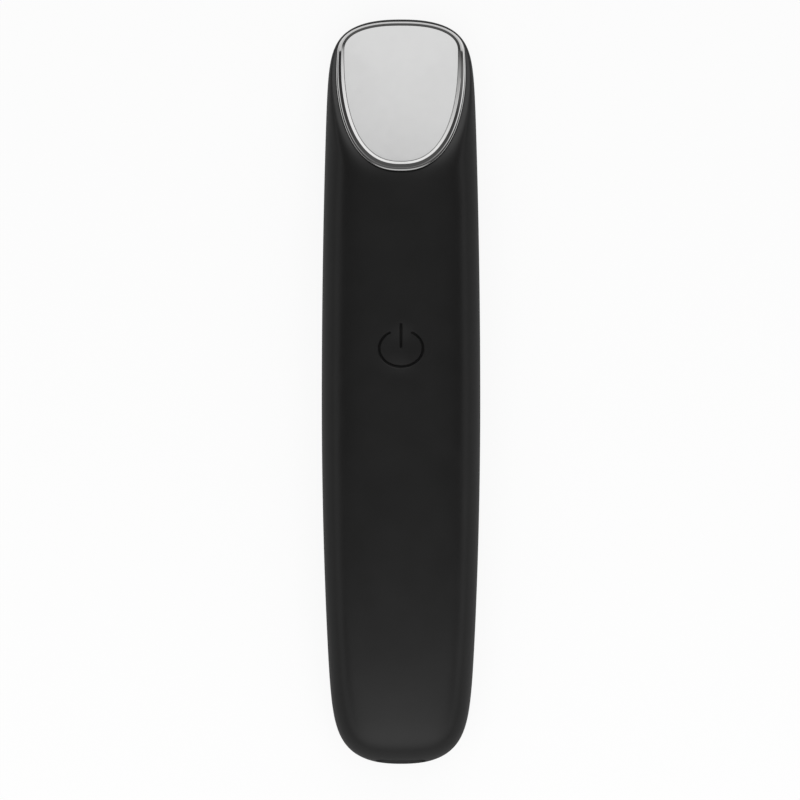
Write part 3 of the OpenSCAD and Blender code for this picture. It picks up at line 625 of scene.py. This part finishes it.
def silicone(name, grooves=False):
    """Soft-touch silicone: near black, matt, with a fine spark-eroded mould grain. With grooves,
    the power sign's grooves are darkened as painted shade.
    """
    material, tree, shader, place = new_material(name)
    dust = ranged(tree, noise(tree, place, 9.0, 4.0), 0, 1)
    tint = mixed_colour(tree, dust, shade_of(SKIN_COLOUR, 0.9), shade_of(SKIN_COLOUR, 1.12))
    if grooves:
        # Painted shade: darkens the power sign's grooves, standing in for the shade inside them.
        reader = tree.nodes.new("ShaderNodeAttribute")
        reader.attribute_name = "groove"
        tint = mixed_colour(tree, reader.outputs["Fac"], tint, GROOVE_SHADE_COLOUR)
    tree.links.new(tint, shader.inputs["Base Color"])
    gloss = ranged(tree, noise(tree, place, 4.0, 3.0), *SKIN_ROUGH)
    tree.links.new(matt_edge(tree, gloss), shader.inputs["Roughness"])
    coarse = bump(tree, shader, noise(tree, place, 0.9, 2.0), 0.006)
    bump(tree, shader, noise(tree, place, 0.16, 2.0), 0.004, coarse)
    return material


def polished_chrome():
    return finish_of("polished_chrome", (0.5, 0.497, 0.494), 0.07, metallic=1.0, grain_mm=2.5,
                     grain_depth_mm=0.002, mottle=0.03, rough_spread=0.03)


def satin_plate():
    return finish_of("satin_plate", (0.45, 0.45, 0.449), 0.24, metallic=1.0, grain_mm=0.2,
                     grain_depth_mm=0.0006, mottle=0.006, mottle_mm=5.0, rough_spread=0.012)


INNER_FINISHES = {
    "shell": dict(colour=(0.05, 0.06, 0.07), rough=0.5, grain_mm=0.3, grain_depth_mm=0.008),
    "screws": dict(colour=(0.55, 0.56, 0.58), rough=0.3, metallic=1.0),
    "heater": dict(colour=(0.5, 0.22, 0.05), rough=0.3, mottle=0.2, mottle_mm=2.0),
    "insulation": dict(colour=(0.8, 0.78, 0.72), rough=0.8, grain_mm=0.4, grain_depth_mm=0.04),
    "sensor": dict(colour=(0.6, 0.35, 0.08), rough=0.15),
    "carrier": dict(colour=(0.16, 0.11, 0.06), rough=0.45, grain_mm=0.3),
    "switch": dict(colour=(0.5, 0.5, 0.52), rough=0.28, metallic=1.0),
    "light_guide": dict(colour=(0.8, 0.83, 0.86), rough=0.12),
    "switch_stem": dict(colour=(0.02, 0.02, 0.02), rough=0.4),
    "motor": dict(colour=(0.55, 0.56, 0.58), rough=0.25, metallic=1.0),
    "motor_cap": dict(colour=(0.85, 0.85, 0.82), rough=0.5),
    "boots": dict(colour=(0.05, 0.05, 0.05), rough=0.7, grain_depth_mm=0.01),
    "shaft": dict(colour=(0.6, 0.6, 0.62), rough=0.15, metallic=1.0),
    "weight": dict(colour=(0.4, 0.3, 0.14), rough=0.4, metallic=1.0, grain_depth_mm=0.01),
    "board": dict(colour=(0.02, 0.16, 0.06), rough=0.3, mottle=0.25, mottle_mm=2.0),
    "chips": dict(colour=(0.03, 0.03, 0.035), rough=0.55, grain_mm=0.2, grain_depth_mm=0.006),
    "led": dict(colour=(0.85, 0.87, 0.9), rough=0.1),
    "socket": dict(colour=(0.55, 0.56, 0.57), rough=0.22, metallic=1.0),
    "socket_tongue": dict(colour=(0.02, 0.02, 0.02), rough=0.4),
    "battery": dict(colour=(0.5, 0.51, 0.53), rough=0.35, metallic=1.0, grain_mm=3.0,
                    grain_depth_mm=0.05),
    "foam": dict(colour=(0.05, 0.05, 0.06), rough=0.9, grain_mm=0.4, grain_depth_mm=0.05),
    "leads": dict(colour=(0.25, 0.03, 0.03), rough=0.35),
    "heater_wire": dict(colour=(0.7, 0.68, 0.6), rough=0.4),
}


def dress_cad_nodes():
    """Gives each CAD node that stays the finish of its slot."""
    made = {slot: finish_of("finish_" + slot, **look) for slot, look in INNER_FINISHES.items()}
    for part in frame["record"]["subparts"]:
        if part["material_slot"] in made:
            node = frame["nodes"][part["node"]]
            node.data.materials.clear()
            node.data.materials.append(made[part["material_slot"]])


def dress(piece, material):
    piece.data.materials.clear()
    piece.data.materials.append(material)


# ---------------------------------------------------------------- the object
skin = build_skin()
dress(skin, silicone("soft_silicone"))
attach(skin, "casing")
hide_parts("silicone_sleeve")

button = build_button()
# This material paints shade into the power sign's grooves.
dress(button, silicone("soft_silicone_groove_shade", grooves=True))
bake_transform(button)
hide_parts("button_membrane")

ring = build_ring()
dress(ring, polished_chrome())
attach(ring, "casing")
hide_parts("trim_ring")

plate = build_plate()
dress(plate, satin_plate())
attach(plate, "casing")
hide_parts("massage_plate")

dress_cad_nodes()


# ---------------------------------------------------------------- studio
def area_light(name, place, target, width, height, power):
    data = bpy.data.lights.new(name, "AREA")
    data.shape = "RECTANGLE"
    data.size, data.size_y = width, height
    data.energy = power
    lamp = bpy.data.objects.new(name, data)
    lamp.location = place
    lamp.rotation_euler = (Vector(target) - Vector(place)).to_track_quat("-Z", "Y").to_euler()
    bpy.context.scene.collection.objects.link(lamp)
    return lamp


def shown_white(tree, shaded, amount):
    """Mixes plain white into a surface where the camera, gloss or clear matter sees it."""
    path = tree.nodes.new("ShaderNodeLightPath")
    seen = path.outputs["Is Camera Ray"]
    for other in ("Is Glossy Ray", "Is Transmission Ray"):
        either = tree.nodes.new("ShaderNodeMath")
        either.operation = "MAXIMUM"
        tree.links.new(seen, either.inputs[0])
        tree.links.new(path.outputs[other], either.inputs[1])
        seen = either.outputs[0]
    share = tree.nodes.new("ShaderNodeMath")
    share.operation = "MULTIPLY"
    share.inputs[1].default_value = amount
    tree.links.new(seen, share.inputs[0])
    glow = tree.nodes.new("ShaderNodeEmission")
    glow.inputs["Color"].default_value = (1, 1, 1, 1)
    blend = tree.nodes.new("ShaderNodeMixShader")
    tree.links.new(share.outputs[0], blend.inputs[0])
    tree.links.new(shaded, blend.inputs[1])
    tree.links.new(glow.outputs[0], blend.inputs[2])
    return blend.outputs[0]


FLOOR_COLOUR = (0.9, 0.9, 0.9, 1)
FLOOR_WHITE = 0.9                # share of plain white in what is seen of it


def build_floor():
    size = 3000.0                    # half its side, in millimetres
    corners = [(-size, -size, 0), (size, -size, 0), (size, size, 0), (-size, size, 0)]
    floor = mesh_object("floor", corners, [(0, 1, 2, 3)])
    material, tree, shader, place = new_material("floor_pale")
    shader.inputs["Base Color"].default_value = FLOOR_COLOUR
    shader.inputs["Roughness"].default_value = 0.9
    shader.inputs["Specular IOR Level"].default_value = 0.1
    output = tree.nodes["Material Output"]
    tree.links.new(shown_white(tree, shader.outputs[0], FLOOR_WHITE), output.inputs["Surface"])
    floor.data.materials.append(material)


def sky_step(tree, value, low, high, amount, base):
    """base plus amount, coming in smoothly as value goes from low to high."""
    step = tree.nodes.new("ShaderNodeMapRange")
    step.interpolation_type = "SMOOTHSTEP"
    for name, number in (("From Min", low), ("From Max", high), ("To Min", 0), ("To Max", amount)):
        step.inputs[name].default_value = number
    tree.links.new(value, step.inputs["Value"])
    total = tree.nodes.new("ShaderNodeMath")
    tree.links.new(step.outputs["Result"], total.inputs[0])
    if isinstance(base, float):
        total.inputs[1].default_value = base
    else:
        tree.links.new(base, total.inputs[1])
    return total.outputs[0]


STUDIO_DIM = 0.03                # light of the studio's walls
STUDIO_ROOF = 0.12               # more light than that straight above
ROOF_FULL = 0.9                  # height, on a sky of radius 1, from which the roof's light is full
# Soft panels: azimuth and zenith angle, angles to where their light is full and where it ends, and
# the light.
HEAD_PANEL = ((85, 79), (25, 54), 1.5)
TAIL_PANEL = ((-90, 72), (15, 50), 0.3)
HORIZON_TOP = 0.05               # height, on the same sky, where the white horizon ends
HORIZON_WHITE = 0.9
BRIGHTEST = 1.6                  # limit where panel and horizon add up


def build_world():
    """A dim studio with a white horizon and a soft panel beyond each end of the wand."""
    world = bpy.data.worlds.new("studio")
    bpy.context.scene.world = world
    world.use_nodes = True
    tree = world.node_tree
    direction = tree.nodes.new("ShaderNodeTexCoord").outputs["Generated"]
    height = tree.nodes.new("ShaderNodeSeparateXYZ")
    tree.links.new(direction, height.inputs[0])
    level = sky_step(tree, height.outputs["Z"], 0.0, ROOF_FULL, STUDIO_ROOF, STUDIO_DIM)
    for middle, radii, light in (HEAD_PANEL, TAIL_PANEL):
        azimuth, from_zenith = (math.radians(a) for a in middle)
        towards = tree.nodes.new("ShaderNodeVectorMath")
        towards.operation = "DOT_PRODUCT"
        towards.inputs[1].default_value = (math.sin(from_zenith) * math.cos(azimuth),
                                           math.sin(from_zenith) * math.sin(azimuth),
                                           math.cos(from_zenith))
        tree.links.new(direction, towards.inputs[0])
        inner, outer = (math.cos(math.radians(a)) for a in radii)
        level = sky_step(tree, towards.outputs["Value"], outer, inner, light, level)
    level = sky_step(tree, height.outputs["Z"], HORIZON_TOP, 0.0, HORIZON_WHITE, level)
    most = tree.nodes.new("ShaderNodeMath")
    most.operation = "MINIMUM"
    most.inputs[1].default_value = BRIGHTEST
    tree.links.new(level, most.inputs[0])
    tree.links.new(most.outputs[0], tree.nodes["Background"].inputs["Strength"])
    tree.nodes["Background"].inputs["Color"].default_value = (1, 1, 1, 1)


def build_camera():
    """Straight above the wand, tip up, with the length of the wand filling the photo's share."""
    view_mm = 150.35                 # width of the photo at the wand's outline
    outline_z = 8.0                  # height of the outline that was measured
    middle_x, middle_y = -0.19, -1.58    # of the picture, on the wand
    lens, sensor = 800.0, 36.0       # a long lens: the photo shows no perspective
    data = bpy.data.cameras.new("camera")
    data.lens, data.sensor_width = lens, sensor
    data.clip_start, data.clip_end = 0.01, 20
    camera = bpy.data.objects.new("camera", data)
    bpy.context.scene.collection.objects.link(camera)
    camera.location = Vector((middle_x, middle_y, outline_z + view_mm * lens / sensor)) * MM
    bpy.context.scene.camera = camera


build_floor()
build_world()
softbox = area_light("tail_softbox", place=(0, -0.19, 0.095), target=(0, -0.142, 0),
                     width=0.45, height=0.26, power=0.19)
softbox.visible_camera = False
fill = area_light("overhead_fill", place=(0, -0.1, 1.2), target=(0, 0, 0),
                  width=1.2, height=1.2, power=8.0)
fill.visible_glossy = False
build_camera()

bpy.context.scene.view_settings.view_transform = "Standard"

bpy.context.view_layer.update()
